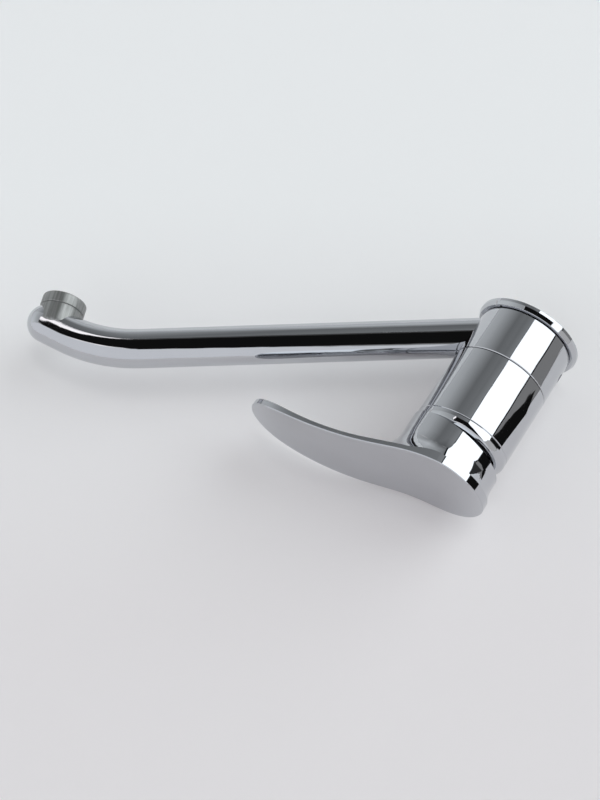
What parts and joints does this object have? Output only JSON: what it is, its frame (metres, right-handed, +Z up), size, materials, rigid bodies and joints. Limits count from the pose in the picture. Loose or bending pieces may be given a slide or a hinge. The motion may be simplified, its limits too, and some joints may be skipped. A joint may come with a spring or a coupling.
{
  "type": "single lever kitchen mixer tap",
  "caption": "Single-lever kitchen mixer tap with a cylindrical body, a low swivelling tubular spout with a tilted aerator outlet, and a leaf-shaped lever on a ceramic-disc cartridge.",
  "frame": {"origin": "centre of the body's mounting face, where the base ring stands on the worktop", "axes": "+Z up the body's axis, +X along the spout and the lever at rest, +Y to the right of a person who faces the spout"},
  "size_m": [0.2527, 0.0552, 0.1373],
  "materials": {
    "chrome_base": "polished",
    "chrome_body": "polished",
    "chrome_collar": "polished",
    "chrome_spout": "polished",
    "chrome_aerator": "satin",
    "chrome_cover": "polished",
    "chrome_lever": "polished",
    "black_rubber": "matte",
    "white_plastic": "matte",
    "screw_steel": "machined",
    "grey_plastic": "matte",
    "cartridge_plastic": "moulded",
    "alumina": "lapped",
    "stem_brass": "machined",
    "nut_brass": "machined",
    "cap_plastic": "gloss"
  },
  "bodies": {
    "tap_body": {"base_ring": "chrome_base", "base_gasket": "black_rubber", "valve_body": "chrome_body", "lower_slide_ring": "white_plastic", "upper_slide_ring": "white_plastic", "lower_spout_seal": "black_rubber", "upper_spout_seal": "black_rubber", "cartridge_base": "cartridge_plastic", "hot_port_seal": "black_rubber", "cold_port_seal": "black_rubber", "outlet_port_seal": "black_rubber", "fixed_ceramic_disc": "alumina", "cartridge_housing": "cartridge_plastic", "cartridge_nut": "nut_brass", "domed_cover": "chrome_cover"},
    "swivel_spout": {"swivel_collar": "chrome_collar", "spout_retaining_screw": "screw_steel", "spout_tube": "chrome_spout", "outlet_neck": "chrome_spout", "aerator_housing": "chrome_aerator", "aerator_washer": "black_rubber", "flow_straightener": "grey_plastic", "aerator_strainer": "grey_plastic"},
    "cartridge_rotor": {"stem_rotor": "cartridge_plastic", "pivot_pin": "screw_steel"},
    "mixing_disc": {"disc_carrier": "cartridge_plastic", "moving_ceramic_disc": "alumina"},
    "lever": {"lever_handle": "chrome_lever", "cartridge_stem": "stem_brass", "handle_grub_screw": "screw_steel", "screw_cap": "cap_plastic"}
  },
  "joints": [
    {"name": "spout_swivel", "type": "hinge", "parent": "tap_body", "child": "swivel_spout", "pos_m": [0, 0, 0.0174], "axis": [0, 0, 1], "continuous": true},
    {"name": "handle_turn", "type": "hinge", "parent": "tap_body", "child": "cartridge_rotor", "pos_m": [0, 0, 0.064], "axis": [0, 0, 1], "range_deg": [-45, 45]},
    {"name": "handle_lift", "type": "hinge", "parent": "cartridge_rotor", "child": "lever", "pos_m": [0, 0, 0.064], "axis": [0, -1, 0], "range_deg": [0, 25]},
    {"name": "disc_slide", "type": "slide", "parent": "cartridge_rotor", "child": "mixing_disc", "axis": [1, 0, 0], "range_m": [0, 0.0041]}
  ],
  "couplings": [
    {"joint": "disc_slide", "follows": "handle_lift", "m_per_rad": 0.0092}
  ]
}
